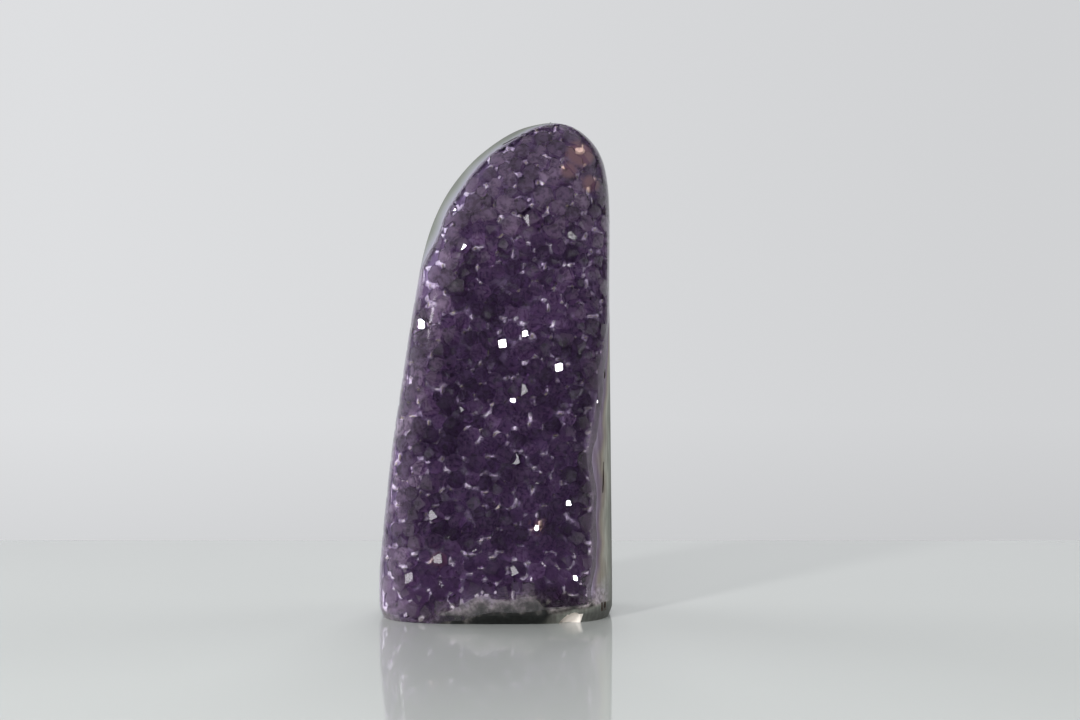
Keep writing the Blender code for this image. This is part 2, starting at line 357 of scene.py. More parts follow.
def select_where(piece, kind, chosen):
    """Selects the vertices or edges of a piece for which a function is true, and nothing else."""
    bpy.ops.object.mode_set(mode="EDIT")
    bpy.ops.mesh.select_mode(type=kind)
    bpy.ops.mesh.select_all(action="DESELECT")
    bpy.ops.object.mode_set(mode="OBJECT")
    for element in piece.data.edges if kind == "EDGE" else piece.data.vertices:
        element.select = chosen(element)
    bpy.ops.object.mode_set(mode="EDIT")


def ground_body(name):
    """The whole stone as one closed smooth body."""
    bpy.ops.mesh.primitive_cylinder_add(vertices=AROUND, radius=1, depth=1, location=(0, 0, 0.5))
    body = bpy.context.object
    body.name = body.data.name = name
    bpy.ops.object.transform_apply(location=True)
    heights = vertices(body)[:, 2]
    select_where(body, "EDGE", lambda edge: bool(np.ptp(heights[list(edge.vertices)]) > 0.5))
    bpy.ops.mesh.subdivide(number_cuts=LEVELS - 1)
    select_where(body, "VERT", lambda vertex: vertex.co.z > TOP_RING)
    bpy.ops.mesh.merge(type="CENTER")
    bpy.ops.object.mode_set(mode="OBJECT")
    shaped = []
    for x, y, share in vertices(body):
        height = HEIGHT * (1 - (1 - share) ** CROWN_CROWDING)
        shaped.append(CROWN if share > TOP_RING else section_point(math.atan2(y, x), height))
    move_vertices(body, shaped)
    return body


stone = ground_body("stone")
print("The ground body has", len(stone.data.polygons), "faces")


def stone_copy(name):
    """A copy of the ground body with its own mesh."""
    copy = bpy.data.objects.new(name, stone.data.copy())
    bpy.context.scene.collection.objects.link(copy)
    return copy


# %% [markdown]
# ## A cutting block
#
# To get one layer out of the body we keep its overlap with a block whose front and back are the
# layer's two depths: a grid, stood upright, extruded, and moved onto both.

# %% Blocks between two depths
BLOCK_WIDTH = 88 * MM
BLOCK_HEIGHT = 176 * MM
BLOCK_STEP = 1.2 * MM
BLOCK_MIDDLE = 75 * MM
CLEAR_OF_STONE = 40 * MM


def block_between(name, front, back, step=BLOCK_STEP):
    """A closed block, wider than the stone, between two depths given by functions of x and z."""
    columns, rows = round(BLOCK_WIDTH / step), round(BLOCK_HEIGHT / step)
    bpy.ops.mesh.primitive_grid_add(x_subdivisions=columns, y_subdivisions=rows, size=1,
                                    location=(0, 0, BLOCK_MIDDLE), rotation=(math.pi / 2, 0, 0))
    block = bpy.context.object
    block.name = block.data.name = name
    block.scale = (BLOCK_WIDTH, BLOCK_HEIGHT, 1)
    bpy.ops.object.transform_apply(location=True, rotation=True, scale=True)
    bpy.ops.object.mode_set(mode="EDIT")
    bpy.ops.mesh.select_all(action="SELECT")
    bpy.ops.mesh.extrude_region_move(TRANSFORM_OT_translate={"value": (0, CLEAR_OF_STONE, 0)})
    bpy.ops.mesh.select_all(action="SELECT")
    bpy.ops.mesh.normals_make_consistent(inside=False)
    bpy.ops.object.mode_set(mode="OBJECT")
    places = vertices(block)
    far = places[:, 1] > CLEAR_OF_STONE / 2
    for i, (x, _, z) in enumerate(places):
        places[i, 1] = back(x, z) if far[i] else front(x, z)
    move_vertices(block, places)
    return block


print("The block is", round(BLOCK_HEIGHT / HEIGHT, 2), "times as tall as the stone")

# %% [markdown]
# ## One amethyst point
#
# Quartz ends in six faces that slope 51.8 degrees from its base plane. In amethyst every second
# one is much larger, so a point looks like the corner of a cube. We model it the way a cutter
# would: a six-sided prism, sliced six times. Eight different ones are enough, because each is
# turned and leaned differently when it is set.

# %% Model the master points
FACE_SLOPE = math.radians(51.8)
POINT_SHAPES = 8
PRISM_LENGTH = 3.2
SMALLER_FACES = (0.06, 0.42)
FACE_SCATTER = 0.16
SEED = 23


def face_direction(side):
    turn = math.radians(60 * side)
    return Vector((math.sin(FACE_SLOPE) * math.cos(turn), math.sin(FACE_SLOPE) * math.sin(turn),
                   math.cos(FACE_SLOPE)))


def master_point(rng, number):
    """A point of half width 1, with its axis up and its shoulders about level with the origin."""
    bpy.ops.mesh.primitive_cylinder_add(vertices=6, radius=2 / math.sqrt(3), depth=2 * PRISM_LENGTH,
                                        rotation=(0, 0, math.radians(30)))
    point = bpy.context.object
    point.name = point.data.name = f"master_point_{number}"
    bpy.ops.object.transform_apply(rotation=True)
    bpy.ops.object.mode_set(mode="EDIT")
    for side in range(6):
        normal = face_direction(side)
        smaller = 0 if side % 2 == 0 else rng.uniform(*SMALLER_FACES)
        reach = math.sin(FACE_SLOPE) + smaller + rng.uniform(0, FACE_SCATTER)
        bpy.ops.mesh.select_all(action="SELECT")
        bpy.ops.mesh.bisect(plane_co=normal * reach, plane_no=normal, use_fill=True,
                            clear_outer=True)
    bpy.ops.mesh.select_all(action="SELECT")
    bpy.ops.mesh.normals_make_consistent(inside=False)
    bpy.ops.object.mode_set(mode="OBJECT")
    return point


rng = random.Random(SEED)
masters = [master_point(rng, number) for number in range(POINT_SHAPES)]
print("Faces of each master point:", [len(point.data.polygons) for point in masters])

# %% [markdown]
# ## Where the points stand
#
# Crystals of a druse compete for room: a few large ones win, and smaller ones fill the gaps. So
# we throw places at random, the largest size first, and keep a place only if its neighbours leave
# room. The throws are seeded, so the same druse grows every time. A few places are planned: there
# one face will mirror a lamp to the camera, so both get their places here.

# %% Places for the points
SPACING = 0.79  # between two points, in their half widths
STEEP_RIM = -14 * MM  # roots deeper than this, on the steep rim, are spaced as if at it
POINT_SIZES = ((2.8 * MM, 90), (2.4 * MM, 500), (2.05 * MM, 2500), (1.7 * MM, 6000))
POINTS_ACROSS = (-38 * MM, 38 * MM)
POINTS_UP = (-2 * MM, 152 * MM)
CAMERA = Vector((13.6 * MM, -461 * MM, 77.2 * MM))
LIGHTS = {"key": Vector((-0.6, -0.8, 0.5)), "sky": Vector((-1.0, -0.35, 0.35)),
          "right": Vector((0.9, -0.7, 0.3)), "top": Vector((0.1, 0.8, 1.0))}
BRIGHT_FACES = [(x * MM, z * MM, size * MM, light) for x, z, size, light in (
    (-22.0, 87.7, 2.1, "key"), (2.8, 81.9, 1.6, "key"), (9.4, 84.9, 1.1, "key"),
    (19.4, 74.9, 1.6, "key"), (9.2, 68.2, 2.2, "sky"), (-9.1, 62.6, 1.5, "sky"),
    (5.7, 65.3, 1.0, "key"), (11.6, 118.6, 2.6, "sky"), (6.9, 47.5, 2.1, "sky"),
    (22.3, 35.0, 1.2, "key"), (-17.0, 31.5, 2.2, "sky"), (12.7, 27.7, 1.0, "key"),
    (-5.3, 21.6, 1.3, "sky"), (-15.8, 18.4, 2.0, "sky"), (-24.2, 12.8, 2.1, "sky"),
    (6.9, 15.2, 2.2, "sky"), (24.1, 12.8, 1.1, "key"), (-12.3, 122.2, 1.2, "key"))]


def point_sites(rng, taken):
    """Where points stand, as (x, z, half width), around the places that are taken already."""
    sites = list(taken)
    feet = [(x, root_surface(x, z), z) for x, z, _ in sites]
    for size, tries in POINT_SIZES:
        for _ in range(tries):
            x, z = rng.uniform(*POINTS_ACROSS), rng.uniform(*POINTS_UP)
            foot = (x, min(root_surface(x, z), STEEP_RIM), z)
            if all(math.dist(foot, other) > SPACING * (size + taken_size)
                   for other, (_, _, taken_size) in zip(feet, sites)):
                sites.append((x, z, size))
                feet.append(foot)
    return sites


sites = point_sites(rng, [face[:3] for face in BRIGHT_FACES])
print(len(sites), "points have room")

# %% [markdown]
# The milky quartz under the points has to know which crystal a place belongs to, and how near the
# next one is. A k-d tree finds them fast. Iron has stained a few crystals, named by their place.

# %% Which point a place belongs to
NEIGHBOURS = 5
STAINED = [(x * MM, z * MM, radius * MM) for x, z, radius in (
    (25.5, 139.0, 3.2), (21.9, 133.5, 1.5), (28.5, 130.0, 1.6), (-16.5, 18.0, 1.5),
    (13.0, 28.0, 1.2))]
STAIN_EDGE = 1.5 * MM

tones = [rng.random() for _ in sites]
site_tree = kdtree.KDTree(len(sites))
for number, (x, z, _) in enumerate(sites):
    site_tree.insert((x, 0, z), number)
site_tree.balance()


def stain(x, z):
    """1 on the few crystals that iron has stained, 0 elsewhere."""
    return max(ramp(math.hypot(x - a, z - b), radius + STAIN_EDGE, radius)
               for a, b, radius in STAINED)


def cell(x, z):
    """Half widths to the second and the third crystal, and the tone of the one at a place."""
    near = sorted((distance / sites[number][2], number)
                  for _, number, distance in site_tree.find_n((x, 0, z), NEIGHBOURS))
    return near[1][0] - near[0][0], near[2][0] - near[0][0], tones[near[0][1]]


print("Edge, corner and tone in the middle:", [round(value, 2) for value in cell(0, 70 * MM)])

# %% [markdown]
# ## Turn the points
#
# A point leans where its root slopes, and no two are turned alike. A face mirrors a lamp to the
# camera when its normal halves the angle between the two. A planned point is turned so that one
# face does, and any other one is turned again for as long as one of its faces would.

# %% Turns for the points
LEAN = 0.7
STEEPEST = 1.2
SLOPE_REACH = 1.5 * MM
POINT_TILT = 0.2
TURN_TRIES = 30
DULL_ANGLE = math.radians(9)
FACES = [face_direction(side) for side in range(6)]


def lean(x, z):
    """The way that a point grows: away from the root, a bit less steeply than the root falls."""
    slopes = [(root_surface(x + a, z + b) - root_surface(x - a, z - b)) / (2 * SLOPE_REACH)
              for a, b in ((SLOPE_REACH, 0), (0, SLOPE_REACH))]
    across, up = (min(max(LEAN * slope, -STEEPEST), STEEPEST) for slope in slopes)
    return Vector((across, -1, up))


def bright_face(place, light):
    """The direction of a face that mirrors a light to the camera."""
    return ((CAMERA - place).normalized() + (LIGHTS[light] - place).normalized()).normalized()


def random_turn(x, z):
    """A turn that leans a point about its growth and spins it, with no face that shines."""
    place = Vector((x, ROOT_DEPTH, z))
    bright = [bright_face(place, light) for light in LIGHTS]
    for _ in range(TURN_TRIES):
        aim = lean(x, z) + Vector((rng.gauss(0, POINT_TILT), 0, rng.gauss(0, POINT_TILT)))
        turn = (aim.to_track_quat("Z", "Y").to_matrix()
                @ Matrix.Rotation(rng.uniform(0, math.tau), 3, "Z"))
        if all((turn @ face).angle(shine) > DULL_ANGLE for face in FACES for shine in bright):
            break
    return turn


def bright_turn(x, z, light):
    """A turn that lets one large face of a point mirror a light to the camera."""
    face = bright_face(Vector((x, ROOT_DEPTH, z)), light)
    axis = Matrix.Rotation(FACE_SLOPE, 3, face.cross(Vector((0, -1, 0)))) @ face
    side = (face - axis * math.cos(FACE_SLOPE)).normalized()
    return Matrix((side, axis.cross(side), axis)).transposed()


print("A point in the middle grows towards", [round(part, 2) for part in lean(0, 70 * MM)])

# %% [markdown]
# ## Stand the points on the root
#
# Each place gets a copy of a master with its own mesh, unless the wheel took the root there too.

# %% Stand the points on the root
GRIND_MARGIN = 1.2 * MM
SHOULDER_SINK = -0.4  # of the half width: the shoulders stand a little in front of the root
BRIGHT_FORWARD = 0.5 * MM
TIP_SCATTER = 0.4 * MM


def set_point(master, x, z, size, turn, forward):
    """A copy of a master point, turned and stood on the root."""
    point = bpy.data.objects.new("point", master.data.copy())
    bpy.context.scene.collection.objects.link(point)
    root = Vector((x, root_surface(x, z) + SHOULDER_SINK * size - forward, z))
    point.data.transform(Matrix.Translation(root) @ turn.to_4x4() @ Matrix.Scale(size, 4))
    return point


standing = []
for number, (x, z, size) in enumerate(sites):
    if ground_front(x, z) > root_surface(x, z) - GRIND_MARGIN:
        continue
    if number < len(BRIGHT_FACES):
        turn, forward = bright_turn(x, z, BRIGHT_FACES[number][3]), BRIGHT_FORWARD
    else:
        turn, forward = random_turn(x, z), rng.uniform(-TIP_SCATTER, TIP_SCATTER)
    standing.append((set_point(rng.choice(masters), x, z, size, turn, forward), x, z, size))
for master in masters:
    bpy.data.objects.remove(master)
print(len(standing), "points stand")

# %% [markdown]
# ## Grow them together and grind them
#
# A Boolean for each of many hundreds of points would take minutes. Points that don't touch can be
# joined into one mesh, a batch, so a few Booleans do the work of all. The batches are united with
# a block of quartz, and the ground body then cuts off what the wheel took. The block's back stops
# just short of the rind, hidden in the milky quartz, so that the see-through body never touches it.

# %% Build the clear quartz
BATCH_ROOM = 1.7  # between two points of a batch, in their half widths
HIDDEN_BACK = 0.15 * MM


def in_batches(points):
    """Joins points that don't touch one another, and gives the joined meshes."""
    batches = []
    for point, x, z, size in points:
        for places, members in batches:
            if all(math.hypot(x - a, z - b) > BATCH_ROOM * (size + other)
                   for a, b, other in places):
                break
        else:
            places, members = [], []
            batches.append((places, members))
        places.append((x, z, size))
        members.append(point)
    for _, members in batches:
        take(*members)
        bpy.ops.object.join()
    return [members[0] for _, members in batches]


def back_of_clear(x, z):
    return rind_front(x, z) - HIDDEN_BACK


batches = in_batches(standing)
clear_quartz = block_between("amethyst_points", root_surface, back_of_clear)
for batch in batches:
    combine(clear_quartz, batch, "UNION")
room = block_between("room", lambda x, z: -CLEAR_OF_STONE, back_of_clear)
combine(clear_quartz, room, "INTERSECT")
combine(clear_quartz, stone_copy("wheel"), "INTERSECT")
print("The clear quartz, grown from", len(batches), "batches, has",
      len(clear_quartz.data.polygons), "faces")

# %% [markdown]
# ## The milky quartz behind
#
# Behind its clear tips the quartz is full of tiny cracks and bubbles, which scatter light like
# milk. A scattering volume would show that, but it is slow and grainy, so we build the milk as an
# opaque body just under the clear surface. It overlaps the clear body's back, so that no air gap
# lies between them. Where crystals meet, the cracks crowd together, so there the milk rises and
# shows as small pale patches.

# %% Front of the milky quartz
BED_UNDER_ROOT = (0.2 * MM, 0.4 * MM)  # at the rim, in the middle
DEEP_FROM_RIM = (5 * MM, 20 * MM)
BED_RISE_AT_CORNERS = 2.5 * MM
CORNER_REACH = 0.62
CRACKED_SIZE = 7 * MM
CRACKED = (-0.4, 0.2)
BED_STEP = 0.8 * MM


def bed_front(x, z):
    """Depth of the milky quartz under the points."""
    cracked = ramp(wave(CRACKED_SIZE, x, 0, z), *CRACKED)
    rise = BED_RISE_AT_CORNERS * cracked * ramp(cell(x, z)[1], CORNER_REACH, 0)
    left, right = section(z)[:2]
    under = between(*BED_UNDER_ROOT, ramp(min(x - left, right - x), *DEEP_FROM_RIM))
    return root_surface(x, z) + under - rise


milky_quartz = block_between("quartz_bed", bed_front, rind_front, BED_STEP)
print("The milky block has", len(milky_quartz.data.polygons), "faces")

# %% [markdown]
# Round the rim the wheel cut through everything, so there the milk stops a little short of the
# ground surface. We pull in a ground body by the thickness of the clear layer, and keep the
# overlap. The layer is thinnest on the left strip, beside the rind and at the foot, so those look
# cloudy. It is thicker in the middle of each crystal than at its edges, so the crystals can be
# told apart even where they are ground flat.

# %% Clear layer over the milky quartz
EDGE_REACH = 0.35
CLEAR_LAYER = 0.4 * MM
CLEAR_IN_CELLS = 0.8 * MM
CLEAR_WHERE_STAINED = 0.2
CLEAR_LAYER_WAVE = 0.5 * MM
CLEAR_LAYER_WAVE_SIZE = 9 * MM
PALE_LEFT = (17 * MM, 8 * MM)
PALE_LEFT_SHARE = 0.7
POLISH_FILM = 0.05 * MM
MILK_TO_SURFACE = (0.2 * MM, 5 * MM)
MILK_TO_FOOT = (4 * MM, 15 * MM)
BEHIND_THE_QUARTZ = RIND_FRONT + 1 * MM


def clear_layer(x, y, z):
    """How thick the clear quartz is over the milky quartz at a place on the ground surface."""
    waver = CLEAR_LAYER_WAVE * wave(CLEAR_LAYER_WAVE_SIZE, x, y, z)
    stained = between(1, CLEAR_WHERE_STAINED, stain(x, z))
    cells = CLEAR_IN_CELLS * ramp(cell(x, z)[0], 0, EDGE_REACH) * stained
    share = ramp(rind_front(x, z) - y, *MILK_TO_SURFACE) * ramp(z - foot_line(x, z), *MILK_TO_FOOT)
    share *= 1 - PALE_LEFT_SHARE * ramp(x - section(z)[0], *PALE_LEFT)
    return POLISH_FILM + share * (CLEAR_LAYER + cells + waver)


def shrink_into_clear(body):
    """Pulls a body's surface in by the thickness of the clear layer over it."""
    normals = np.empty(len(body.data.vertices) * 3, np.float32)
    body.data.vertices.foreach_get("normal", normals)
    normals = normals.reshape(-1, 3)
    places = vertices(body)
    for i, (x, y, z) in enumerate(places):
        if y <= BEHIND_THE_QUARTZ:
            places[i] -= normals[i] * clear_layer(x, y, z)
    move_vertices(body, places)


inner_body = stone_copy("inner_body")
shrink_into_clear(inner_body)
combine(milky_quartz, inner_body, "INTERSECT")
print("The milky quartz has", len(milky_quartz.data.polygons), "faces")

# %% [markdown]
# ## The rind
#
# The geode's wall is what the quartz grew on: a thin lining of chalcedony, then weathered basalt.
# It is everything in the ground body that lies behind the quartz, so one more block cuts it out
# of the body itself.

# %% Build the rind
rind = block_between("basalt_rind_slice", rind_front, lambda x, z: CLEAR_OF_STONE)
combine(rind, stone, "INTERSECT")
print("The rind has", len(rind.data.polygons), "faces before it is damaged")

# %% [markdown]
# ## Damage
#
# A flake is missing from the foot's front edge, and there are a pit and a few open cracks. Quartz
# and basalt break in shallow shells, so each scar is cut with a stretched ball, set on the ground
# surface: wide and shallow for the flake, long and thin for a crack.

# %% Chip, pit and cracks
# x, z, size across, into and up in mm, lean in degrees
CHIP = (22.3, -0.2, 3.5, 1.9, 4.1, 30)
SCARS = (
    (32.8, 72.8, 0.5, 0.8, 1.2, 0),  # a pit
    (32.4, 41.5, 0.25, 0.7, 3.8, 2),  # the long crack
    (32.9, 4.2, 0.45, 0.5, 0.9, 20), (32.0, 3.4, 0.3, 0.4, 0.6, -15),  # at the foot
    (4.9, 143.4, 0.18, 0.5, 3.0, 61), (9.3, 145.7, 0.15, 0.5, 1.6, 66))  # on the shoulder


def scar_frame(x, z, across, into, up, lean_angle):
    """The place, turn and size of a scar on the ground front, as one matrix."""
    return (Matrix.Translation((x * MM, ground_front(x * MM, z * MM), z * MM))
            @ Matrix.Rotation(math.radians(lean_angle), 4, "Y")
            @ Matrix.Diagonal((across * MM, into * MM, up * MM, 1)))


chip_frame = scar_frame(*CHIP)
scar_frames = [scar_frame(*values) for values in SCARS]
for frame_of_scar in (chip_frame, *scar_frames):
    bpy.ops.mesh.primitive_ico_sphere_add(subdivisions=3, radius=1)
    cutter = bpy.context.object
    cutter.data.transform(frame_of_scar)
    combine(rind, cutter, "DIFFERENCE")
print("The rind has", len(rind.data.polygons), "faces after", 1 + len(SCARS), "cuts")

# %% [markdown]
# ## Marks for the materials
#
# A material can't know where a place lies in the stone, but we do. So every vertex stores how far
# behind the rind's front it lies, how high above the foot's basalt, and which crystal it is in,
# and the materials read that. The rind is marked after its damage is cut, because a Boolean
# doesn't fill in attributes on the faces it makes.

# %% Mark the pieces
def mark(piece, name, value_at, domain="POINT"):
    """Stores a value for each vertex or face of a piece, as an attribute for its material."""
    places = vertices(piece).tolist()
    if domain == "FACE":
        places = [face.center for face in piece.data.polygons]
    values = [value_at(*place) for place in places]
    piece.data.attributes.new(name, "FLOAT", domain).data.foreach_set("value", values)
    print(piece.name, name, "from", round(min(values), 2), "to", round(max(values), 2))


for piece in (milky_quartz, rind):
    mark(piece, "behind_mm", lambda x, y, z: (y - rind_front(x, z)) / MM)
    mark(piece, "above_foot_mm", lambda x, y, z: (z - foot_line(x, z)) / MM)
mark(milky_quartz, "tone", lambda x, y, z: cell(x, z)[2])
mark(milky_quartz, "corner", lambda x, y, z: cell(x, z)[1])
mark(milky_quartz, "stain", lambda x, y, z: stain(x, z))

# %% [markdown]
# The clear quartz needs two marks for its faces instead. The wheel left fine scratches that a
# grown face hasn't, and the small flats of massive quartz between the points are a bit dull too.

# %% Mark the faces of the clear quartz
WHEEL_MARK = 0.985  # of the way from the axis to the surface
CROWN_CAP = 1 * MM
SAWN_FOOT = 0.01 * MM
ROOT_MARK = 0.1 * MM


def ground_face(x, y, z):
    """1 for a face that the wheel made, 0 for a natural one."""
    left, right, front, back = section(z)
    if z > HEIGHT - CROWN_CAP or z < SAWN_FOOT:
        return 1.0
    power = section_power(z)
    across = abs(2 * x - left - right) / (right - left)
    deep = y / (front if y < 0 else back)
    return float((across ** power + deep ** power) ** (1 / power) > WHEEL_MARK)


def root_face(x, y, z):
    """1 for a face of the massive quartz between the points, 0 for any other."""
    return float(abs(y - root_surface(x, z)) < ROOT_MARK)


mark(clear_quartz, "ground", ground_face, "FACE")
mark(clear_quartz, "root", root_face, "FACE")

# %% [markdown]
# ## Material helpers
#
# One helper turns a hex colour into the linear values that shaders use, and one adds a node with
# its settings and links. With these two, a plain finish is a few lines.

# %% Material helpers
def srgb(code):
    """A hex colour as linear red, green, blue and alpha."""
    channels = [int(code[i:i + 2], 16) / 255 for i in (1, 3, 5)]
    return (*[c / 12.92 if c <= 0.04045 else ((c + 0.055) / 1.055) ** 2.4 for c in channels], 1)


def add(tree, kind, inputs=None, **settings):
    """Adds a node with its settings, and fills its inputs with values or links."""
    node = tree.nodes.new(kind)
    for name, value in settings.items():
        setattr(node, name, value)
    for name, value in (inputs or {}).items():
        if isinstance(value, bpy.types.NodeSocket):
            tree.links.new(value, node.inputs[name])
        else:
            node.inputs[name].default_value = value
    return node


def new_material(name):
    """A material with an empty tree, as (material, tree)."""
    made = bpy.data.materials.new(name)
    made.use_nodes = True
    made.node_tree.nodes.clear()
    return made, made.node_tree


def put_out(tree, settings, **others):
    """Ends a tree with one Principled shader."""
    shader = add(tree, "ShaderNodeBsdfPrincipled", settings)
    add(tree, "ShaderNodeOutputMaterial", {"Surface": shader.outputs["BSDF"], **others})


def plain_material(name, settings):
    """A material that is one Principled shader and nothing else."""
    made, tree = new_material(name)
    put_out(tree, settings)
    return made


def give(piece, material):
    """Makes a material the only one of a piece."""
    piece.data.materials.clear()
    piece.data.materials.append(material)
    print(piece.name, "is", material.name)


print("Half grey, #808080, is", round(srgb("#808080")[0], 3), "in linear light")

# %% [markdown]
# A stone's colours follow its marks and a few noises. These helpers read a mark, calculate, map a
# value's span onto shares, and read a noise whose size is given as a real length.

# %% Helpers for values
def attribute(tree, name):
    return add(tree, "ShaderNodeAttribute", attribute_name=name).outputs["Fac"]


def calculate(tree, operation, *values):
    node = add(tree, "ShaderNodeMath", dict(enumerate(values)), operation=operation)
    return node.outputs["Value"]


def spread(tree, value, start, end, to_start=0.0, to_end=1.0):
    """Maps the span from start to end onto another one, and stops at both ends."""
    return add(tree, "ShaderNodeMapRange", {
        "Value": value, "From Min": start, "From Max": end,
        "To Min": to_start, "To Max": to_end}).outputs["Result"]


def noise_at(tree, place, size, detail=4.0):
    """A noise from 0 to 1 whose lumps are about as large as size."""
    return add(tree, "ShaderNodeTexNoise", {
        "Vector": place, "Scale": 1 / size, "Detail": detail}).outputs["Fac"]


def made_uneven(tree, name, place, size, amount, detail=4.0):
    """A marked distance in mm, pushed to and fro by a noise, so that its lines wander."""
    centred = calculate(tree, "SUBTRACT", noise_at(tree, place, size, detail), 0.5)
    return calculate(tree, "MULTIPLY_ADD", centred, amount, attribute(tree, name))


print("Lumps of 4 mm need a noise scale of", round(1 / (4 * MM)), "per metre")

# %% [markdown]
# The other helpers work on colours: pick one by a share, blend two, or darken one by another.

# %% Helpers for colours
SHARE_IN, FIRST_IN, SECOND_IN, COLOUR_OUT = 0, 6, 7, 2  # a Mix node's sockets for colours


def colour_ramp(tree, value, stops):
    """A colour ramp from (position, hex colour) stops, read at value."""
    node = add(tree, "ShaderNodeValToRGB", {"Fac": value})
    elements = node.color_ramp.elements
    while len(elements) < len(stops):
        elements.new(0.5)
    for element, (position, code) in zip(elements, stops):
        element.position = position
        element.color = srgb(code)
    return node.outputs["Color"]


def blend_colours(tree, share, first, second, how="MIX"):
    """Blends two colours, each a link or a hex colour, by a share."""
    first, second = (srgb(value) if isinstance(value, str) else value
                     for value in (first, second))
    node = add(tree, "ShaderNodeMix", {SHARE_IN: share, FIRST_IN: first, SECOND_IN: second},
               data_type="RGBA", blend_type=how)
    return node.outputs[COLOUR_OUT]


def shade_colours(tree, colour, clouds, share=1.0):
    """Darkens a colour by another one."""
    return blend_colours(tree, share, colour, clouds, "MULTIPLY")


print("The darkest milk is", [round(part, 2) for part in srgb("#7d698b")[:3]])

# %% [markdown]
# ## Clear amethyst
#
# Iron makes clear quartz violet: it takes out green light most. How dark a place looks depends on
# how far the light has travelled inside, so the colour comes from absorption in the volume and
# hardly from the surface. Thin tips stay light, and deep places go almost black. The refraction
# is quartz's own, 1.544. It bends the milk behind into a new pattern in every face, and that is
# what makes the faces show.

# %% Clear amethyst
QUARTZ_IOR = 1.544
GROWN_FINISH = 0.04
WORN_FINISH = 0.06
VIOLET = (0.33, 0.13, 0.36, 1)  # absorption is given as linear light
VIOLET_DENSITY = 335.0  # per metre

amethyst, tree = new_material("clear_amethyst")
worn = calculate(tree, "MAXIMUM", attribute(tree, "ground"), attribute(tree, "root"))
film = blend_colours(tree, attribute(tree, "ground"), "#b7a6c6", "#e6e2e8")
tint = add(tree, "ShaderNodeVolumeAbsorption", {
    "Color": VIOLET, "Density": VIOLET_DENSITY})  # the deeper, the darker
put_out(tree, {
    "Base Color": film,  # a trace of violet right at the surface, less where it is ground
    "Roughness": spread(tree, worn, 0.0, 1.0, GROWN_FINISH, WORN_FINISH),  # grown faces mirror
    "IOR": QUARTZ_IOR,  # bends the milk behind
    "Specular IOR Level": 0.35,  # a quiet mirror, so that the inside shows
    "Transmission Weight": 0.98,  # see-through
}, Volume=tint.outputs["Volume"])
give(clear_quartz, amethyst)

# %% [markdown]
# ## Milky quartz
#
# The milk is never even. Each crystal has its own tone, small clouds mottle it, and the junctions
# between crystals are beige with dirt and cracks. A few crystals are rusty. We build these up one
# over the other, as a painter would, and steer each by a mark. Real clouds in quartz are finer
# than a millimetre, so they are drawn a little coarser here, or they wouldn't show.

# %% Colours inside the milky quartz
JUNCTION = (0.18, 0.36)  # half widths from where three crystals meet
CLOUD_SIZE = 4 * MM
MOTTLE_SIZE = 1.6 * MM
ZONE_SIZE = 17 * MM

milky, tree = new_material("milky_quartz")
place = add(tree, "ShaderNodeTexCoord").outputs["Object"]
split = add(tree, "ShaderNodeSeparateXYZ", {"Vector": place})
# beige where crystals meet
junctions = colour_ramp(tree, noise_at(tree, place, CLOUD_SIZE, 5.0), [
    (0.35, "#6f665a"), (0.65, "#a39987")])
# a tone of its own for each crystal
crystals = colour_ramp(tree, attribute(tree, "tone"), [
    (0.0, "#7d698b"), (0.35, "#a593b2"), (0.8, "#cfc1d8"), (1.0, "#ece5f0")])
in_crystal = spread(tree, attribute(tree, "corner"), *JUNCTION)
inside = blend_colours(tree, in_crystal, junctions, crystals)
# small clouds over all of them
mottle = colour_ramp(tree, noise_at(tree, place, MOTTLE_SIZE), [
    (0.38, "#7d6f88"), (0.58, "#ffffff")])
inside = shade_colours(tree, inside, mottle, 0.8)
# wide zones that took up more iron
zones = colour_ramp(tree, noise_at(tree, place, ZONE_SIZE, 2.0), [
    (0.42, "#8d8299"), (0.58, "#ffffff")])
inside = shade_colours(tree, inside, zones, 0.55)
# rust on a few crystals
inside = blend_colours(tree, attribute(tree, "stain"), inside, "#c9a9a0")
print("The milk has", len(tree.nodes), "nodes so far")

# %% [markdown]
# Near the rind, on the left and at the foot, the milk holds more bubbles and less iron, so it
# grows paler there.

# %% Paler towards the shoulder and the foot
PALE_SHARE = 0.95
PALE_BY_RIND = (-17.0, -3.0)  # mm behind the rind's front
PALE_ACROSS = (8 * MM, -8 * MM)
PALE_AT_FOOT = (24 * MM, 3 * MM)
PALE_FOOT_SHARE = 0.7
WANDER_SIZE = 2.5 * MM
PALE_WANDER = 6.0  # mm to and fro

by_rind = spread(tree, made_uneven(tree, "behind_mm", place, WANDER_SIZE, PALE_WANDER),
                 *PALE_BY_RIND, 0.0, PALE_SHARE)
on_the_left = spread(tree, split.outputs["X"], *PALE_ACROSS)
lavender = calculate(tree, "MULTIPLY", by_rind, on_the_left)
inside = blend_colours(tree, lavender, inside, "#cfc4de")
low = spread(tree, split.outputs["Z"], *PALE_AT_FOOT, 0.0, PALE_FOOT_SHARE)
inside = blend_colours(tree, low, inside, "#d9cde2")
print("The milk is pale over the lowest", round(PALE_AT_FOOT[0] / MM), "mm")

# %% [markdown]
# At the foot the quartz passes into dark basalt, and no line can be drawn between them: the two
# mix in clouds. Both pieces get the same colours there, from the same function, so the clouds run
# on across the boundary. Next to the rind the quartz is lined with mauve-grey chalcedony.

# %% Foot and lining
FOOT_WARP_SIZE = 3.5 * MM
FOOT_WARP = 9.0  # mm to and fro
FOOT_GRAIN_SIZE = 1.1 * MM
FOOT_COLOURS = (-4.0, 8.0)  # mm above the basalt
FOOT_FADES = (11.0, 5.5)  # the same
LINING = (-5.0, -0.3)  # mm behind the rind's front
LINING_WANDER = 5.0  # mm to and fro


